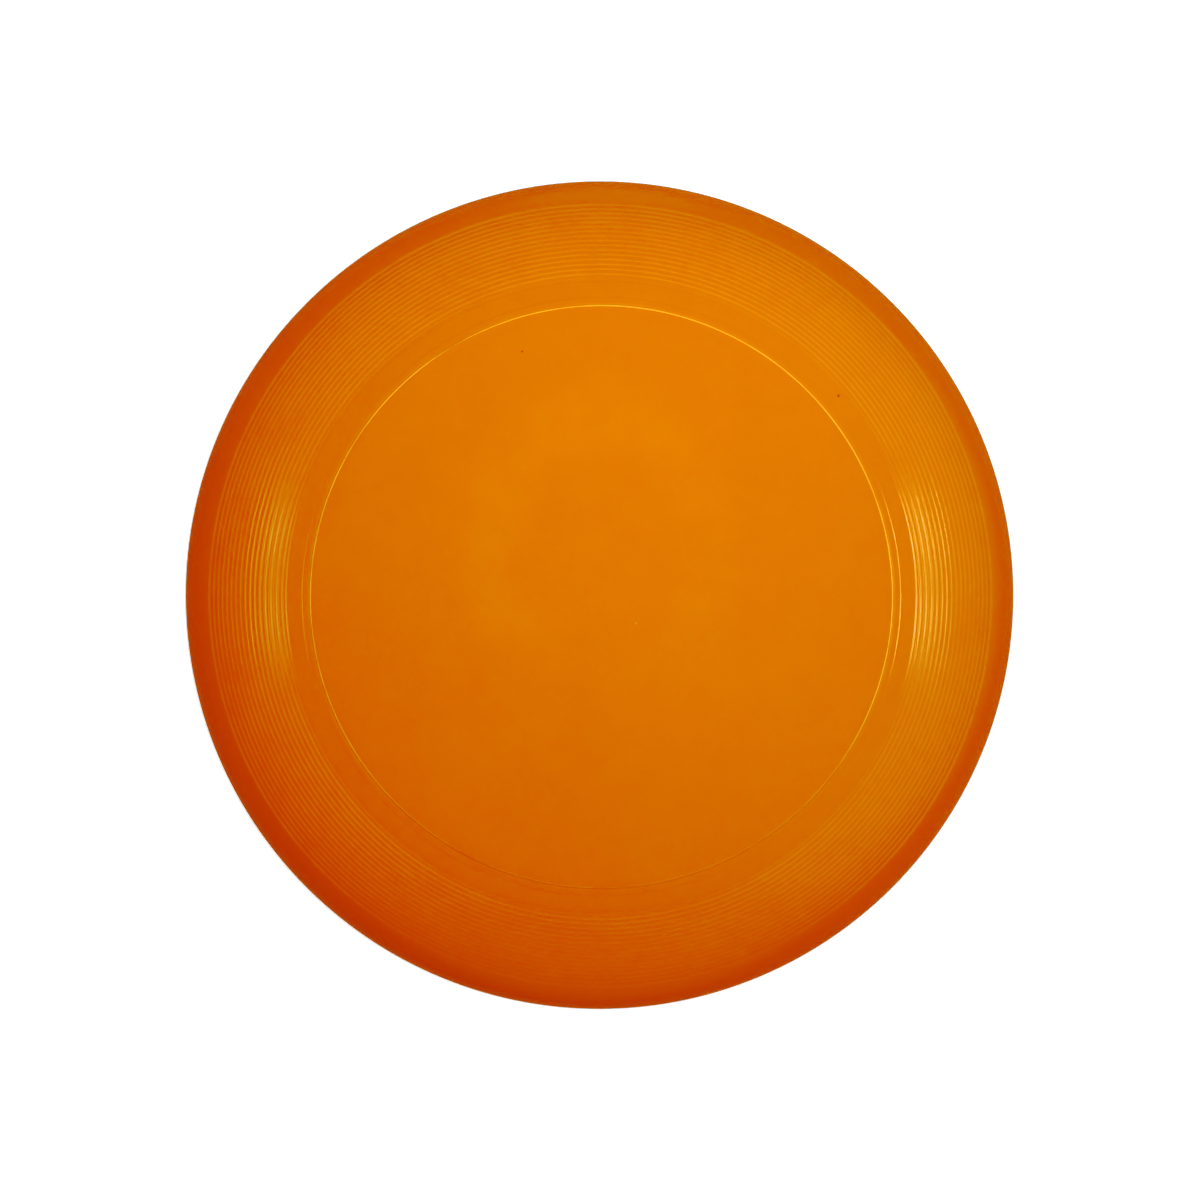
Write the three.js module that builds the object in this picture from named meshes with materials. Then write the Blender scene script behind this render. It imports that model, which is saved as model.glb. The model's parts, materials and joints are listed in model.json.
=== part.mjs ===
// A flying disc: one injection moulding in low-density polyethylene, turned about +Z.
//
// The moulding is a flat flight plate inside a shoulder that carries fine concentric flight rings
// and falls away to a rounded rim. The rim's flat land, at z = 0, is what the disc rests on. The
// hollow under the plate is open downwards, which is where the fingers hold the disc.
//
// Millimetres, +Z up, origin on the axis in the plane of the rim's land.
import * as THREE from "three";

// Driving dimensions.
const DISC_RADIUS = 137; // at the widest point of the rim
const DISC_HEIGHT = 32; // rim land to flight plate
const SEGMENTS = 64; // facets round the axis

// The top surface, from the axis outwards. Slopes are in degrees, positive where it falls outwards.
const FLAT_RADIUS = 55; // the middle of the plate is dead flat
const PLATE_LIP = { radius: 94.4, slope: 0.8 }; // where the plate starts to turn down
const PLATE_STEP = { middle: 94.9, end: 95.4, steepest: 35, foot: 2.5 };
const BAND_STEP = { start: 97.1, middle: 97.5, end: 98, steepest: 13, foot: 3 };
const RINGS = { start: 103.5, end: 128.1, startSlope: 6.5, endSlope: 27.5, grooves: 16, depth: 0.08 };
const SHOULDER = { end: 133.6, slope: 42 }; // the smooth band outside the rings

// The rim, from its widest point down to the land and up the inside.
const WALL = { foot: 1.7, tuck: 7 }; // the outside wall tucks in by this many degrees at its foot
const LAND_INNER_RADIUS = 133.6;
const INNER_LIP = { radius: 0.8, draft: 2 }; // the inside wall leans in by the mould's draft
const INNER_WALL_RADIUS = 132.45; // where the inside wall meets the hollow's fillet

// The underside, from the hollow's fillet inwards.
const BAND_THICKNESS = 2.45; // under the flight rings
const PLATE_THICKNESS = 1.9; // the flight plate
const BAND_UNDERSIDE = { radius: 97.5, slope: 1 }; // the inner edge of the thicker band
const PLATE_UNDERSIDE_RADIUS = 92; // a bevel thins the band down to the plate
const GATE = { wellRadius: 7, wellDepth: 0.5, stubRadius: 1.6, stubHeight: 0.7, wallStep: 0.4 };

// Headings are the direction of travel in the (r, z) plane, in degrees. The section is drawn
// clockwise, so they only count down from outwards.
const OUTWARDS = 0;
const DOWNWARDS = -90;
const INWARDS = -180;
const UPWARDS = -270;

const sine = (degrees) => Math.sin(THREE.MathUtils.degToRad(degrees));
const cosine = (degrees) => Math.cos(THREE.MathUtils.degToRad(degrees));

// Draws a half-section as a chain of lines and tangent arcs.
class SectionPen {
  constructor(r, z, heading) {
    this.points = [new THREE.Vector2(r, z)];
    this.heading = heading;
  }

  get at() {
    return this.points[this.points.length - 1];
  }

  lineTo(r, z) {
    this.points.push(new THREE.Vector2(r, z));
  }

  // Runs straight on to a radius from the axis.
  runTo(r) {
    this.lineTo(r, this.at.y + ((r - this.at.x) * sine(this.heading)) / cosine(this.heading));
  }

  // Turns to a heading round an arc of the given radius.
  turn(radius, heading, steps) {
    const curvature = Math.sign(heading - this.heading) / radius;
    const { x: r, y: z } = this.at;
    const first = this.heading;
    for (let i = 1; i <= steps; i++) {
      const now = first + ((heading - first) * i) / steps;
      const dr = (sine(now) - sine(first)) / curvature;
      const dz = (cosine(first) - cosine(now)) / curvature;
      this.lineTo(r + dr, z + dz);
    }
    this.heading = heading;
  }

  // The arc that reaches a radius from the axis just as it reaches a heading.
  turnToRadius(r, heading, steps) {
    const radius = Math.abs((r - this.at.x) / (sine(heading) - sine(this.heading)));
    this.turn(radius, heading, steps);
  }

  // The arc that reaches a height just as it reaches a heading.
  turnToHeight(z, heading, steps) {
    const radius = Math.abs((z - this.at.y) / (cosine(heading) - cosine(this.heading)));
    this.turn(radius, heading, steps);
  }
}

// How far the plate has fallen below its flat middle at a radius from the axis.
function plateDrop(r) {
  const domeRadius = (PLATE_LIP.radius - FLAT_RADIUS) / sine(PLATE_LIP.slope);
  return (r - FLAT_RADIUS) ** 2 / (2 * domeRadius);
}

function drawPlate(pen) {
  pen.lineTo(FLAT_RADIUS, DISC_HEIGHT);
  pen.turnToRadius(PLATE_LIP.radius, -PLATE_LIP.slope, 2);
  pen.turnToRadius(PLATE_STEP.middle, -PLATE_STEP.steepest, 2);
  pen.turnToRadius(PLATE_STEP.end, -PLATE_STEP.foot, 1);
  pen.runTo(BAND_STEP.start);
  pen.turnToRadius(BAND_STEP.middle, -BAND_STEP.steepest, 1);
  pen.turnToRadius(BAND_STEP.end, -BAND_STEP.foot, 1);
  pen.turnToRadius(RINGS.start, -RINGS.startSlope, 2);
}

// The flight rings: crests a constant distance apart along a convex arc, with a shallow groove
// between each pair.
function drawFlightRings(pen) {
  const { startSlope, endSlope, grooves, depth } = RINGS;
  const radius = (RINGS.end - RINGS.start) / (sine(endSlope) - sine(startSlope));
  const centreR = pen.at.x - radius * sine(startSlope);
  const centreZ = pen.at.y - radius * cosine(startSlope);
  for (let half = 1; half <= 2 * grooves; half++) {
    const slope = startSlope + ((endSlope - startSlope) * half) / (2 * grooves);
    const reach = half % 2 ? radius - depth : radius;
    pen.lineTo(centreR + reach * sine(slope), centreZ + reach * cosine(slope));
  }
  pen.heading = -endSlope;
}

function drawRim(pen) {
  pen.turnToRadius(SHOULDER.end, -SHOULDER.slope, 2);
  pen.turnToRadius(DISC_RADIUS, DOWNWARDS, 6);
  pen.turnToHeight(WALL.foot, DOWNWARDS - WALL.tuck, 2);
  pen.turnToHeight(0, INWARDS, 4);
  pen.lineTo(LAND_INNER_RADIUS, 0);
  pen.turn(INNER_LIP.radius, UPWARDS + INNER_LIP.draft, 3);
}

// The point on the underside of the band that lies square under a crest of the rings.
function underCrest(crest, slope) {
  const inset = new THREE.Vector2(sine(slope), cosine(slope)).multiplyScalar(BAND_THICKNESS);
  return crest.clone().sub(inset);
}

// Up the inside wall, round the hollow's fillet, in under the band, and up a bevel to the plate.
function drawHollow(pen, firstCrest, lastCrest) {
  const bandOuter = underCrest(lastCrest, RINGS.endSlope);
  const bandInner = underCrest(firstCrest, RINGS.startSlope);
  const filletRadius = (INNER_WALL_RADIUS - bandOuter.x)
    / (cosine(INNER_LIP.draft) - sine(RINGS.endSlope));
  const filletRise = filletRadius * (cosine(RINGS.endSlope) - sine(INNER_LIP.draft));
  pen.lineTo(INNER_WALL_RADIUS, bandOuter.y - filletRise);
  pen.turnToRadius(bandOuter.x, INWARDS - RINGS.endSlope, 5);
  pen.turnToRadius(bandInner.x, INWARDS - RINGS.startSlope, 6);
  pen.turnToRadius(BAND_UNDERSIDE.radius, INWARDS - BAND_UNDERSIDE.slope, 2);
  const underside = DISC_HEIGHT - PLATE_THICKNESS;
  pen.lineTo(PLATE_UNDERSIDE_RADIUS, underside - plateDrop(PLATE_UNDERSIDE_RADIUS));
  const midway = (PLATE_UNDERSIDE_RADIUS + FLAT_RADIUS) / 2;
  pen.lineTo(midway, underside - plateDrop(midway));
  pen.lineTo(FLAT_RADIUS, underside);
}

// The gate where the plastic entered the mould: a shallow well with the sheared-off stub in it.
function drawGate(pen) {
  const wellTop = pen.at.y + GATE.wellDepth;
  pen.lineTo(GATE.wellRadius, pen.at.y);
  pen.lineTo(GATE.wellRadius - GATE.wallStep, wellTop);
  pen.lineTo(GATE.stubRadius, wellTop);
  pen.lineTo(GATE.stubRadius - GATE.wallStep, wellTop - GATE.stubHeight);
  pen.lineTo(0, wellTop - GATE.stubHeight);
}

// From the axis across the top, down the rim, and back to the axis under the plate.
function discSection() {
  const pen = new SectionPen(0, DISC_HEIGHT, OUTWARDS);
  drawPlate(pen);
  const firstCrest = pen.at;
  drawFlightRings(pen);
  const lastCrest = pen.at;
  drawRim(pen);
  drawHollow(pen, firstCrest, lastCrest);
  drawGate(pen);
  return pen.points;
}

// LatheGeometry turns its section about +Y, so the solid is then stood up onto +Z. It takes the
// section anticlockwise, which makes the faces point outwards.
function discBody() {
  const geometry = new THREE.LatheGeometry(discSection().reverse(), SEGMENTS);
  geometry.rotateX(Math.PI / 2);
  const material = new THREE.MeshStandardMaterial({ color: 0xe07a00, roughness: 0.32, metalness: 0 });
  const mesh = new THREE.Mesh(geometry, material);
  mesh.name = "disc_body";
  return mesh;
}

const flyingDisc = new THREE.Group();
flyingDisc.add(discBody());

export default flyingDisc;
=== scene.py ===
"""The looks of a flying disc: one moulding in glossy orange polyethylene.

The disc is one lathe shape. Its half-section is drawn as lines and tangent arcs, with the flight
rings as a rounded wave, and spun about the axis. Its overall size comes from the CAD frame.
"""
import json
import math

import bmesh
import bpy
from mathutils import Matrix, Vector


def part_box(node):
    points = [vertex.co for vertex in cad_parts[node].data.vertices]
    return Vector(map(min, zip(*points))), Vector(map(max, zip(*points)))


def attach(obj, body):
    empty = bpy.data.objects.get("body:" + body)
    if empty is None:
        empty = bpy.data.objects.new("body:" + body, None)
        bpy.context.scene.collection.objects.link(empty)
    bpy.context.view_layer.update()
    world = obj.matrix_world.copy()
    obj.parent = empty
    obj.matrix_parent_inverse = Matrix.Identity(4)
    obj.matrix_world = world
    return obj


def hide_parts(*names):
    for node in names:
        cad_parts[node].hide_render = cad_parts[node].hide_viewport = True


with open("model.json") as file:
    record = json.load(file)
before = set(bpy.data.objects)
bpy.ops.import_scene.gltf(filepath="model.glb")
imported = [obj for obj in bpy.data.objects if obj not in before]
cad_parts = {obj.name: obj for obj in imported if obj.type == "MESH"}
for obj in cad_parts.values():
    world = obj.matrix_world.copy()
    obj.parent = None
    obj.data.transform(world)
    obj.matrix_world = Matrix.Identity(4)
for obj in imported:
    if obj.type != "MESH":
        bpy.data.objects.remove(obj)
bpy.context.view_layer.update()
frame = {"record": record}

MM = 0.001
NODE = "disc_body"
SLOT = frame["record"]["materials"][0]["slot"]
low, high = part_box(NODE)
DISC_RADIUS = (high.x - low.x) / 2
DISC_HEIGHT = high.z - low.z

# The top surface, in metres from the axis. Slopes are in degrees, positive where it falls outwards.
FLAT_RADIUS = 55 * MM
PLATE_LIP = {"radius": 94.45 * MM, "slope": 0.8}
PLATE_STEP = {"middle": 94.85 * MM, "end": 95.3 * MM, "steepest": 38, "foot": 2.5}
BAND_STEP = {"start": 96.9 * MM, "middle": 97.35 * MM, "end": 97.8 * MM, "steepest": 10, "foot": 3}
CROWN_STEP = {"start": 102.1 * MM, "middle": 102.6 * MM, "end": 103.1 * MM, "slope": 5, "steepest": 10}
RINGS = {"start": 103.5 * MM, "end": 128.1 * MM, "start_slope": 6.5, "end_slope": 27.5}
RING_COUNT = 15
RING_HEIGHT = 0.044 * MM
RING_SHARPNESS = 6  # the higher, the narrower the crests
# Places along one ring's pitch, from crest to crest, close together where the crest is rounded.
RING_PLACES = (0.06, 0.12, 0.19, 0.28, 0.5, 0.72, 0.81, 0.88, 0.94, 1)
SHOULDER = {"end": 133.6 * MM, "slope": 42}

# The rim and the inside wall.
WALL = {"foot": 1.9 * MM, "tuck": 7}
LAND_INNER_RADIUS = 133.6 * MM
INNER_LIP = {"radius": 0.8 * MM, "draft": 2}
INNER_WALL_RADIUS = 132.45 * MM

# The underside.
BAND_THICKNESS = 2.45 * MM
PLATE_THICKNESS = 1.9 * MM
BAND_UNDERSIDE = {"radius": 97.5 * MM, "slope": 1}
PLATE_UNDERSIDE_RADIUS = 92 * MM
PLATE_UNDERSIDE_STEPS = 8
GATE = {"well": 7 * MM, "depth": 0.5 * MM, "stub": 1.6 * MM, "height": 0.7 * MM, "corner": 0.25 * MM,
        "well_turn": 80, "stub_turn": 75}

SPIN_STEPS = 240
WELD = 0.0005 * MM

# The plastic. Colours are linear, and relief is in metres.
DARK_PIGMENT = (0.692, 0.1435, 0.001, 1)
LIGHT_PIGMENT = (0.708, 0.1505, 0.001, 1)
PIGMENT_SHARES = {"clouds": 0.5, "mottle": 0.35, "grain": 0.15}
PIGMENT_RANGE = (0.32, 0.68)
POLYETHYLENE = {"IOR": 1.51, "Specular Tint": (1, 0.9, 0.5, 1), "Subsurface Weight": 0.2,
                "Subsurface Radius": (1.0, 0.25, 0.05), "Subsurface Scale": 0.003}
ROUGHNESS = {"polish": 0.09, "mottle": 0.04, "highlit_and_rubbed": 0.14, "hairs": 0.03, "painted_sheen": 0.04,
             "underneath": 0.14}
RELIEF = {"waves": 0.00004, "peel": 0.000004, "grain": 0.0000012, "hairs": -0.0000003,
          "seam": 0.00002, "turning": 0.0000015}
TOP_SIDE = (-0.1, 0.1)  # how far up a face looks, from underneath to the top side

# Noises: the scale to the metre, the detail and the roughness.
CLOUDS = (16, 4, 0.6)
MOTTLE = (90, 3, 0.6)
GRAIN = (1100, 2)
PATCH_NOISE = (45, 5, 0.7)
PAINTED_SHEEN_PATCHES = (42, 5, 0.65)
BOWS = (9, 0)
WAVES = (24, 1)
PEEL = (260, 2)
SCRATCH_NOISE = (16, 1)

# Painted shade: the colour darkens towards the rim. Radii are where it starts and where it is full.
RIM_PAINTED_SHADE = {"radii": (118 * MM, 134 * MM), "share": 0.5, "colour": (0.52, 0.125, 0.001, 1)}

# A painted highlight: a faint yellowish sheen in a horseshoe on the plate, open at the front, standing
# in for the soft reflection of the light overhead.
PAINTED_SHEEN = {"middle": (0, 0.014, 0), "half_width": 0.036, "half_length": 0.046, "spread": 0.42,
         "open_end": (-0.035, -0.005), "patches": (0.36, 0.66), "patchiness": 0.7, "share": 0.26,
         "colour": (0.74, 0.195, 0.004, 1)}

# Rubbing and a painted highlight on the edges: how far each kind of edge is rubbed and painted paler,
# against 1 for the edge of the plate, and the distances forward over which it fades out towards the
# front, where the painted highlight is spared.
PLATE_FOOT_HIGHLIGHT_AND_WEAR = 0.1
RING_HIGHLIGHT_AND_WEAR = 0.2
RIM_HIGHLIGHT_AND_WEAR = 0.03
HIGHLIT_AND_RUBBED = {"patches": (0.15, 0.55), "share": 0.85, "colour": (0.96, 0.38, 0.09, 1)}
SPARED = {"plate": (-0.02, -0.085), "rings": (-0.08, -0.12), "plate_edge": (97 * MM, 96 * MM),
          "share": 0.8}

# Hair scratches: their angles in degrees, how sparse each set is, and where they stop.
SCRATCHES = ((17, 0.68), (104, 0.70))
SCRATCH = {"stretch": 110, "softness": 0.03, "bow": 0.02, "patches": (0.38, 0.62),
           "end": (133 * MM, 127 * MM)}

# The mould's marks: its seam round the widest part of the rim, and its turning marks, which are
# under the plate.
SEAM = {"height": 11.8 * MM, "half_width": 0.3 * MM, "rim": (135.5 * MM, 136.2 * MM)}
TURNING = {"pitch": 0.9 * MM, "end": (92 * MM, 88 * MM)}

# Specks on the top: their places as x, y, in metres, and their radii.
SPECK_CORE = 0.4  # the share of a speck's radius that has its full colour
DARK_SPECKS = {"specks": (((0.0770, 0.0655, 0), 0.0005), ((-0.0259, 0.0797, 0), 0.0004)),
               "share": 0.75, "colour": (0.10, 0.02, 0.01, 1)}
PALE_SPECKS = {"specks": (((0.0110, -0.0085, 0), 0.0006),),
               "share": 0.16, "colour": (0.90, 0.50, 0.22, 1)}

# The studio. Angles are in degrees. One soft box hangs over the disc, in a dim even room that is
# a little brighter on the right.
OVERHEAD_BOX = {"place": (0.028, 0.080, 0.346), "aim": (0, 0, 0.03), "width": 0.25, "power": 1.07}
ROOM_LIGHT = 0.215
# Far lights: the heading, the lean from straight up, the radii of the full and the fading light,
# and the brightness.
FAR_LIGHTS = (
    (0, 39, 5, 48, 0.46),  # the bright side of the room
    (9, 25, 0.8, 3.4, 11.0),  # right-hand box, brighter at its two ends
    (0, 24.5, 1, 4.5, 3.0),
    (-8, 24, 0.8, 3.4, 9.0),
    (170, 25, 0.8, 3.4, 7.0),  # left-hand box
    (179, 23.5, 1, 4.5, 2.0),
    (188, 23.5, 0.8, 3.4, 5.5),
    (88, 79, 6, 18, 0.35),  # a box low down at the back
    (-88, 60, 10, 35, 0.25),  # a broad reflector at the front
)
FLOOR = {"half_width": 3, "colour": (0.95, 0.95, 0.95, 1), "roughness": 0.9, "gloss": 0.1, "glow": 0.82}
CAMERA = {"lens": 100, "sensor": 36, "place": (-0.025, 0.0197, 1.1148), "aim": (-0.0002, -0.0013, 0.012)}
# The print's contrast: light in and light out, both linear.
CONTRAST = {"shadows": (0.08, 0.02), "middle": (0.19, 0.19), "lights": (0.4, 0.47),
            "highlights": (0.9, 0.78)}


def sine(degrees):
    return math.sin(math.radians(degrees))


def cosine(degrees):
    return math.cos(math.radians(degrees))


# Headings are the direction of travel in the (r, z) plane. The section is drawn clockwise.
OUTWARDS, DOWNWARDS, INWARDS, UPWARDS = 0, -90, -180, -270


class SectionPen:
    """Draws a half-section as a chain of lines and tangent arcs.

    Each point is a radius, a height and a weight for rubbing and painted highlight: 1 on the edges that
    get rubbed first and painted palest.
    """

    def __init__(self, r, z, heading):
        self.points = [(r, z, 0)]
        self.heading = heading

    @property
    def at(self):
        return self.points[-1]

    def line_to(self, r, z, steps=1, highlight_and_wear=0):
        r0, z0, _ = self.at
        for i in range(1, steps + 1):
            self.points.append((r0 + (r - r0) * i / steps, z0 + (z - z0) * i / steps, highlight_and_wear))

    def run_to(self, r, steps):
        """Runs straight on to a radius from the axis."""
        r0, z0, _ = self.at
        self.line_to(r, z0 + (r - r0) * math.tan(math.radians(self.heading)), steps)

    def turn(self, radius, heading, steps, highlight_and_wear=0):
        """Turns to a heading round an arc of the given radius."""
        first = self.heading
        curvature = math.copysign(1 / radius, heading - first)
        r, z, _ = self.at
        for i in range(1, steps + 1):
            now = first + (heading - first) * i / steps
            dr = (sine(now) - sine(first)) / curvature
            dz = (cosine(first) - cosine(now)) / curvature
            self.points.append((r + dr, z + dz, highlight_and_wear))
        self.heading = heading

    def turn_to_radius(self, r, heading, steps, highlight_and_wear=0):
        """The arc that reaches a radius from the axis just as it reaches a heading."""
        radius = abs((r - self.at[0]) / (sine(heading) - sine(self.heading)))
        self.turn(radius, heading, steps, highlight_and_wear)

    def turn_to_height(self, z, heading, steps, highlight_and_wear=0):
        """The arc that reaches a height just as it reaches a heading."""
        radius = abs((z - self.at[1]) / (cosine(heading) - cosine(self.heading)))
        self.turn(radius, heading, steps, highlight_and_wear)


def plate_drop(r):
    """How far the plate has fallen below its flat middle at a radius from the axis."""
    dome_radius = (PLATE_LIP["radius"] - FLAT_RADIUS) / sine(PLATE_LIP["slope"])
    return (r - FLAT_RADIUS) ** 2 / (2 * dome_radius)


def draw_plate(pen):
    pen.line_to(FLAT_RADIUS, DISC_HEIGHT, steps=12)
    pen.turn_to_radius(PLATE_LIP["radius"], -PLATE_LIP["slope"], steps=10)
    # The plate's edge: rubbed, and painted paler as a highlight.
    pen.turn_to_radius(PLATE_STEP["middle"], -PLATE_STEP["steepest"], steps=8, highlight_and_wear=1)
    pen.turn_to_radius(PLATE_STEP["end"], -PLATE_STEP["foot"], steps=8, highlight_and_wear=PLATE_FOOT_HIGHLIGHT_AND_WEAR)
    pen.run_to(BAND_STEP["start"], steps=2)
    pen.turn_to_radius(BAND_STEP["middle"], -BAND_STEP["steepest"], steps=5)
    pen.turn_to_radius(BAND_STEP["end"], -BAND_STEP["foot"], steps=5)
    pen.turn_to_radius(CROWN_STEP["start"], -CROWN_STEP["slope"], steps=4)
    pen.turn_to_radius(CROWN_STEP["middle"], -CROWN_STEP["steepest"], steps=4)
    pen.turn_to_radius(CROWN_STEP["end"], -CROWN_STEP["slope"], steps=4)
    pen.turn_to_radius(RINGS["start"], -RINGS["start_slope"], steps=2)


def draw_flight_rings(pen):
    """Narrow rounded ridges a constant distance apart along a convex arc."""
    first, last = RINGS["start_slope"], RINGS["end_slope"]
    radius = (RINGS["end"] - pen.at[0]) / (sine(last) - sine(first))
    centre_r = pen.at[0] - radius * sine(first)
    centre_z = pen.at[1] - radius * cosine(first)
    gaps = RING_COUNT + 1
    for gap in range(gaps):
        for place in RING_PLACES:
            slope = first + (last - first) * (gap + place) / gaps
            ridge = math.cos(math.pi * place) ** RING_SHARPNESS
            reach = radius - RING_HEIGHT * (1 - ridge)
            # Each crest is rubbed a little and painted paler as a highlight.
            pen.line_to(centre_r + reach * sine(slope), centre_z + reach * cosine(slope),
                        highlight_and_wear=RING_HIGHLIGHT_AND_WEAR * ridge)
    pen.heading = -last


def draw_rim(pen):
    pen.turn_to_radius(SHOULDER["end"], -SHOULDER["slope"], steps=8)
    # The rim's outer edge and the land under it: a little rubbing and painted highlight.
    pen.turn_to_radius(DISC_RADIUS, DOWNWARDS, steps=16, highlight_and_wear=RIM_HIGHLIGHT_AND_WEAR)
    pen.turn_to_height(WALL["foot"], DOWNWARDS - WALL["tuck"], steps=6)
    pen.turn_to_height(0, INWARDS, steps=10)
    pen.line_to(LAND_INNER_RADIUS, 0, highlight_and_wear=RIM_HIGHLIGHT_AND_WEAR)
    pen.turn(INNER_LIP["radius"], UPWARDS + INNER_LIP["draft"], steps=8)


def under_crest(crest, slope):
    """The point on the underside of the band that lies square under a crest of the rings."""
    r, z, _ = crest
    return r - BAND_THICKNESS * sine(slope), z - BAND_THICKNESS * cosine(slope)


def draw_hollow(pen, first_crest, last_crest):
    """Up the inside wall, round the fillet, in under the band, and up a bevel to the plate."""
    outer_r, outer_z = under_crest(last_crest, RINGS["end_slope"])
    inner_r = under_crest(first_crest, RINGS["start_slope"])[0]
    fillet_radius = (INNER_WALL_RADIUS - outer_r) / (
        cosine(INNER_LIP["draft"]) - sine(RINGS["end_slope"]))
    fillet_rise = fillet_radius * (cosine(RINGS["end_slope"]) - sine(INNER_LIP["draft"]))
    pen.line_to(INNER_WALL_RADIUS, outer_z - fillet_rise, steps=6)
    pen.turn_to_radius(outer_r, INWARDS - RINGS["end_slope"], steps=14)
    pen.turn_to_radius(inner_r, INWARDS - RINGS["start_slope"], steps=16)
    pen.turn_to_radius(BAND_UNDERSIDE["radius"], INWARDS - BAND_UNDERSIDE["slope"], steps=3)
    underside = DISC_HEIGHT - PLATE_THICKNESS
    start_r, start_z, _ = pen.at
    end_r = PLATE_UNDERSIDE_RADIUS
    rise = underside - plate_drop(end_r) - start_z
    steepest = math.degrees(2 * math.atan(rise / (start_r - end_r)))
    pen.turn_to_radius((start_r + end_r) / 2, INWARDS - steepest, steps=5)
    pen.turn_to_radius(end_r, INWARDS, steps=5)
    for i in range(1, PLATE_UNDERSIDE_STEPS + 1):
        r = end_r + (FLAT_RADIUS - end_r) * i / PLATE_UNDERSIDE_STEPS
        pen.line_to(r, underside - plate_drop(r))


def draw_gate(pen):
    """The well round the mould's gate, with the sheared-off stub in it."""
    underside = pen.at[1]
    well_top = underside + GATE["depth"]
    corner = GATE["corner"]
    pen.heading = INWARDS
    pen.line_to(GATE["well"] + corner, underside, steps=8)
    pen.turn(corner, INWARDS - GATE["well_turn"], steps=3)
    pen.turn_to_height(well_top, INWARDS, steps=3)
    pen.line_to(GATE["stub"] + corner, well_top, steps=3)
    pen.turn(corner, INWARDS + GATE["stub_turn"], steps=3)
    pen.line_to(GATE["stub"] - corner, well_top - GATE["height"])
    pen.line_to(0, well_top - GATE["height"], steps=2)


def disc_section():
    """From the axis across the top, down the rim, and back to the axis under the plate."""
    pen = SectionPen(0, DISC_HEIGHT, OUTWARDS)
    draw_plate(pen)
    first_crest = pen.at
    draw_flight_rings(pen)
    last_crest = pen.at
    draw_rim(pen)
    draw_hollow(pen, first_crest, last_crest)
    draw_gate(pen)
    return pen.points


def make_disc():
    bm = bmesh.new()
    highlight_and_wear = bm.verts.layers.float.new("highlight_and_wear")
    verts = []
    for r, z, highlit_and_rubbed in disc_section():
        vert = bm.verts.new((r, 0, z))
        vert[highlight_and_wear] = highlit_and_rubbed
        verts.append(vert)
    edges = [bm.edges.new(pair) for pair in zip(verts, verts[1:])]
    bmesh.ops.spin(bm, geom=verts + edges, cent=(0, 0, 0), axis=(0, 0, 1), angle=math.tau,
                   steps=SPIN_STEPS, use_merge=True, use_duplicate=False)
    bmesh.ops.remove_doubles(bm, verts=bm.verts, dist=WELD)
    bmesh.ops.recalc_face_normals(bm, faces=bm.faces)
    for face in bm.faces:
        face.smooth = True
    mesh = bpy.data.meshes.new("flying_disc")
    bm.to_mesh(mesh)
    bm.free()
    disc = bpy.data.objects.new("flying_disc", mesh)
    bpy.context.scene.collection.objects.link(disc)
    return disc


# The sockets of a Mix node that mixes colours.
MIX_FACTOR, MIX_FIRST, MIX_SECOND, MIX_RESULT = 0, 6, 7, 2


class Value:
    """A shader socket that Python's operators can be used on."""

    def __init__(self, tree, socket):
        self.tree = tree
        self.socket = socket

    def maths(self, operation, *inputs):
        return self.tree.maths(operation, *inputs)

    def __add__(self, other):
        return self.maths("ADD", self, other)

    def __radd__(self, other):
        return self.maths("ADD", other, self)

    def __sub__(self, other):
        return self.maths("SUBTRACT", self, other)

    def __rsub__(self, other):
        return self.maths("SUBTRACT", other, self)

    def __mul__(self, other):
        return self.maths("MULTIPLY", self, other)

    def __rmul__(self, other):
        return self.maths("MULTIPLY", other, self)


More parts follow.
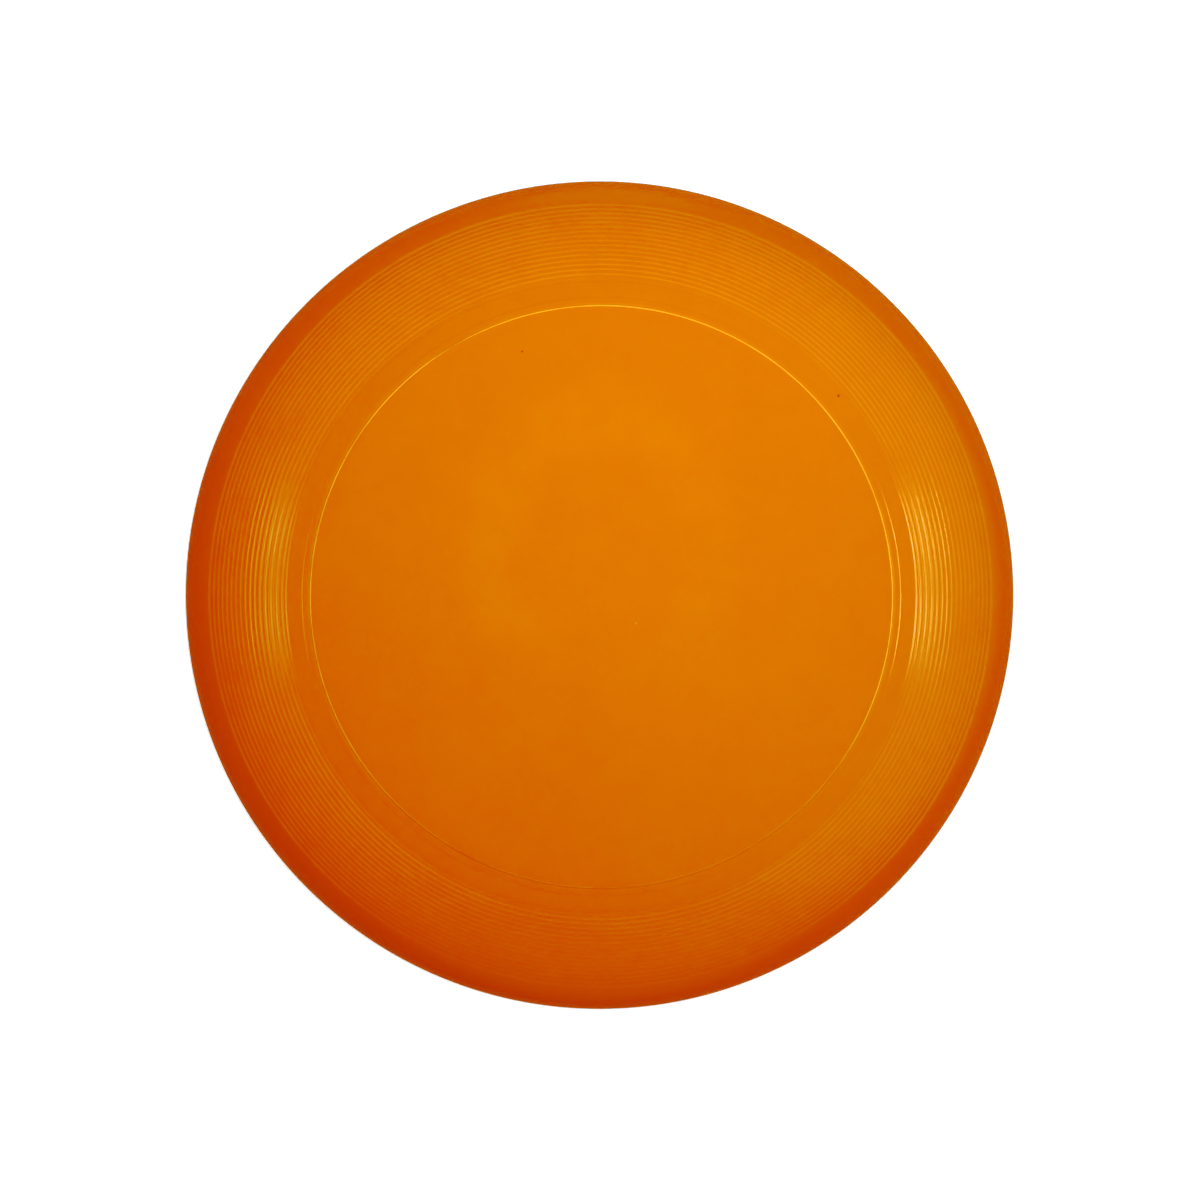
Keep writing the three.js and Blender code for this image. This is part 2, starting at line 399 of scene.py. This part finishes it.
class Shader:
    """A material's nodes, made one call at a time."""

    def __init__(self, owner):
        owner.use_nodes = True
        self.nodes = owner.node_tree.nodes
        self.links = owner.node_tree.links
        self.nodes.clear()

    def node(self, kind, settings, inputs, output=0):
        """Adds a node: its settings first, then its inputs by name or by number."""
        made = self.nodes.new(kind)
        for key, value in settings.items():
            setattr(made, key, value)
        for key, value in inputs.items():
            if isinstance(value, Value):
                self.links.new(value.socket, made.inputs[key])
            else:
                made.inputs[key].default_value = value
        return Value(self, made.outputs[output]) if made.outputs else None

    def maths(self, operation, *inputs):
        return self.node("ShaderNodeMath", {"operation": operation}, dict(enumerate(inputs)))

    def vector(self, operation, *inputs, output=0):
        return self.node("ShaderNodeVectorMath", {"operation": operation},
                         dict(enumerate(inputs)), output)

    def dot(self, one, other):
        return self.vector("DOT_PRODUCT", one, other, output="Value")

    def length(self, vector):
        return self.vector("LENGTH", vector, output="Value")

    def fade(self, value, start, end):
        """0 up to the start and 1 past the end, with a smooth rise between."""
        return self.node("ShaderNodeMapRange", {"interpolation_type": "SMOOTHSTEP"},
                         {"Value": value, "From Min": start, "From Max": end})

    def blend(self, factor, first, second):
        """One colour fading into another."""
        return self.node("ShaderNodeMix", {"data_type": "RGBA"},
                         {MIX_FACTOR: factor, MIX_FIRST: first, MIX_SECOND: second}, MIX_RESULT)

    def noise(self, place, scale, detail=2, roughness=0.5):
        return self.node("ShaderNodeTexNoise", {},
                         {"Vector": place, "Scale": scale, "Detail": detail, "Roughness": roughness})

    def scratches(self, place, angle, sparsity):
        """Fine scratches that run at an angle across the top."""
        turned = self.node("ShaderNodeVectorRotate", {"rotation_type": "Z_AXIS"},
                           {"Vector": place, "Angle": math.radians(angle)})
        drawn_out = self.vector("MULTIPLY", turned, (1, SCRATCH["stretch"], 1))
        return self.fade(self.noise(drawn_out, *SCRATCH_NOISE), sparsity, sparsity + SCRATCH["softness"])

    def spot(self, place, middle, radius):
        """1 in a small round spot on the top, with a soft edge."""
        away = self.length(self.vector("SUBTRACT", place, middle))
        return self.fade(away, radius, radius * SPECK_CORE)


def hair_scratches(s, place, radius, patch_noise):
    """Two sets of slightly bowed scratches, in patches, inside the rim."""
    bow = s.vector("MULTIPLY", s.noise(place, *BOWS), (SCRATCH["bow"], SCRATCH["bow"], 0))
    bowed = s.vector("ADD", place, bow)
    hairs = s.maths("MAXIMUM", *(s.scratches(bowed, angle, sparsity) for angle, sparsity in SCRATCHES))
    return hairs * s.fade(patch_noise, *SCRATCH["patches"]) * s.fade(radius, *SCRATCH["end"])


def painted_sheen_on_plate(s, place, front, top_side):
    """A painted highlight: a patchy oval band on the plate, open at the front, standing in for the soft
    reflection of the light overhead.
    """
    oval = (1 / PAINTED_SHEEN["half_width"], 1 / PAINTED_SHEEN["half_length"], 0)
    reach = s.length(s.vector("MULTIPLY", s.vector("SUBTRACT", place, PAINTED_SHEEN["middle"]), oval))
    band = s.fade(s.maths("ABSOLUTE", reach - 1), PAINTED_SHEEN["spread"], 0) * s.fade(front, *PAINTED_SHEEN["open_end"])
    patches = s.fade(s.noise(place, *PAINTED_SHEEN_PATCHES), *PAINTED_SHEEN["patches"])
    return band * (patches * PAINTED_SHEEN["patchiness"] + (1 - PAINTED_SHEEN["patchiness"])) * top_side


def highlit_and_rubbed_edges(s, radius, front, patch_noise):
    """The edges are rubbed and painted paler as a highlight, least towards the front, the plate's own
    edge least of all.
    """
    highlit_and_worn = s.node("ShaderNodeAttribute", {"attribute_name": "highlight_and_wear"}, {}, output="Fac")
    plate_spared = s.fade(front, *SPARED["plate"]) * s.fade(radius, *SPARED["plate_edge"])
    spared = s.maths("MAXIMUM", plate_spared, s.fade(front, *SPARED["rings"]))
    return highlit_and_worn * s.fade(patch_noise, *HIGHLIT_AND_RUBBED["patches"]) * (1 - SPARED["share"] * spared)


def mould_seam(s, radius, height):
    """A fine line round the widest part of the rim."""
    line = s.fade(s.maths("ABSOLUTE", height - SEAM["height"]), SEAM["half_width"], 0)
    return line * s.fade(radius, *SEAM["rim"])


def turning_marks(s, radius, top_side):
    """Faint rings under the plate, left by the tool that turned the mould."""
    under = s.fade(top_side, 1, 0) * s.fade(radius, *TURNING["end"])
    return s.maths("SINE", radius * (math.tau / TURNING["pitch"])) * under


def make_polyethylene():
    """Glossy moulded polyethylene: cloudy pigment, a painted highlight as a sheen on the plate, painted
    shade towards the rim, rubbed edges painted paler as a highlight, hair scratches and the mould's own
    marks. The hollow is less polished than the top."""
    material = bpy.data.materials.new(SLOT)
    s = Shader(material)
    place = s.node("ShaderNodeTexCoord", {}, {}, output="Object")
    facing = s.node("ShaderNodeTexCoord", {}, {}, output="Normal")
    top_side = s.fade(s.dot(facing, (0, 0, 1)), *TOP_SIDE)
    height = s.dot(place, (0, 0, 1))
    front = s.dot(place, (0, 1, 0))
    flat = s.vector("MULTIPLY", place, (1, 1, 0))
    radius = s.length(flat)

    mottle = s.noise(place, *MOTTLE)
    grain = s.noise(place, *GRAIN)
    patch_noise = s.noise(place, *PATCH_NOISE)
    hairs = hair_scratches(s, place, radius, patch_noise)
    painted_sheen = painted_sheen_on_plate(s, place, front, top_side)
    highlit_and_rubbed = highlit_and_rubbed_edges(s, radius, front, patch_noise)

    pigment = (s.noise(place, *CLOUDS) * PIGMENT_SHARES["clouds"] + mottle * PIGMENT_SHARES["mottle"]
               + grain * PIGMENT_SHARES["grain"])
    colour = s.blend(s.fade(pigment, *PIGMENT_RANGE), DARK_PIGMENT, LIGHT_PIGMENT)
    # Painted highlight: the plate turns paler and yellower in the sheen.
    colour = s.blend(painted_sheen * PAINTED_SHEEN["share"], colour, PAINTED_SHEEN["colour"])
    # Painted shade, darker towards the rim.
    rim_shade = s.fade(radius, *RIM_PAINTED_SHADE["radii"])
    colour = s.blend(rim_shade * RIM_PAINTED_SHADE["share"], colour, RIM_PAINTED_SHADE["colour"])
    # Painted highlight on the rubbed edges, standing in for glints on the plate's edge and the ring
    # crests.
    colour = s.blend(highlit_and_rubbed * HIGHLIT_AND_RUBBED["share"], colour, HIGHLIT_AND_RUBBED["colour"])
    for kind in (DARK_SPECKS, PALE_SPECKS):
        for middle, size in kind["specks"]:
            speck = s.spot(flat, middle, size) * top_side
            colour = s.blend(speck * kind["share"], colour, kind["colour"])

    underneath = s.fade(top_side, 1, 0)
    roughness = (mottle * ROUGHNESS["mottle"] + ROUGHNESS["polish"] + highlit_and_rubbed * ROUGHNESS["highlit_and_rubbed"]
                 + hairs * ROUGHNESS["hairs"] + painted_sheen * ROUGHNESS["painted_sheen"]
                 + underneath * ROUGHNESS["underneath"])

    relief = (s.noise(place, *WAVES) * RELIEF["waves"] + grain * RELIEF["grain"]
              + hairs * RELIEF["hairs"] + s.noise(place, *PEEL) * RELIEF["peel"]
              + mould_seam(s, radius, height) * RELIEF["seam"]
              + turning_marks(s, radius, top_side) * RELIEF["turning"])
    bump = s.node("ShaderNodeBump", {}, {"Strength": 1.0, "Distance": 1.0, "Height": relief})

    bsdf = s.node("ShaderNodeBsdfPrincipled", {}, {
        "Base Color": colour, "Roughness": roughness, "Normal": bump, **POLYETHYLENE})
    s.node("ShaderNodeOutputMaterial", {}, {"Surface": bsdf})
    return material


def make_overhead():
    light = bpy.data.lights.new("overhead_box", "AREA")
    light.size = OVERHEAD_BOX["width"]
    light.energy = OVERHEAD_BOX["power"]
    lamp = bpy.data.objects.new("overhead_box", light)
    lamp.location = OVERHEAD_BOX["place"]
    forward = Vector(OVERHEAD_BOX["aim"]) - Vector(OVERHEAD_BOX["place"])
    lamp.rotation_euler = forward.to_track_quat("-Z", "Y").to_euler()
    # It hangs inside the picture, so it only lights things.
    lamp.visible_camera = False
    lamp.visible_glossy = False
    bpy.context.scene.collection.objects.link(lamp)


def make_floor():
    bm = bmesh.new()
    bmesh.ops.create_grid(bm, x_segments=1, y_segments=1, size=FLOOR["half_width"])
    mesh = bpy.data.meshes.new("floor")
    bm.to_mesh(mesh)
    bm.free()
    floor = bpy.data.objects.new("floor", mesh)
    bpy.context.scene.collection.objects.link(floor)
    material = bpy.data.materials.new("pale_floor")
    s = Shader(material)
    bsdf = s.node("ShaderNodeBsdfPrincipled", {}, {
        "Base Color": FLOOR["colour"], "Roughness": FLOOR["roughness"],
        "Specular IOR Level": FLOOR["gloss"], "Emission Color": (1, 1, 1, 1),
        "Emission Strength": FLOOR["glow"]})
    s.node("ShaderNodeOutputMaterial", {}, {"Surface": bsdf})
    mesh.materials.append(material)
    floor.visible_glossy = False


def make_world():
    """A dim even room with soft lights round it."""
    world = bpy.data.worlds.new("studio")
    bpy.context.scene.world = world
    s = Shader(world)
    direction = s.node("ShaderNodeTexCoord", {}, {}, output="Generated")
    glow = ROOM_LIGHT
    for heading, lean, inner, outer, brightness in FAR_LIGHTS:
        middle = (cosine(heading) * sine(lean), sine(heading) * sine(lean), cosine(lean))
        near = s.fade(s.dot(direction, middle), cosine(outer), cosine(inner))
        glow = near * brightness + glow
    background = s.node("ShaderNodeBackground", {}, {"Color": (1, 1, 1, 1), "Strength": glow})
    s.node("ShaderNodeOutputWorld", {}, {"Surface": background})


def make_camera():
    camera = bpy.data.cameras.new("camera")
    camera.lens = CAMERA["lens"]
    camera.sensor_width = CAMERA["sensor"]
    holder = bpy.data.objects.new("camera", camera)
    holder.location = CAMERA["place"]
    back = (Vector(CAMERA["place"]) - Vector(CAMERA["aim"])).normalized()
    right = Vector((0, 1, 0)).cross(back).normalized()
    up = back.cross(right)
    holder.rotation_euler = Matrix((right, up, back)).transposed().to_euler()
    bpy.context.scene.collection.objects.link(holder)
    bpy.context.scene.camera = holder


def set_contrast():
    settings = bpy.context.scene.view_settings
    settings.view_transform = "Standard"
    settings.use_curve_mapping = True
    curve = settings.curve_mapping.curves[3]
    for light_in, light_out in CONTRAST.values():
        curve.points.new(light_in, light_out)
    settings.curve_mapping.update()


make_camera()
disc = make_disc()
disc.data.materials.append(make_polyethylene())
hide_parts(NODE)
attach(disc, "root")
make_floor()
make_world()
make_overhead()
set_contrast()
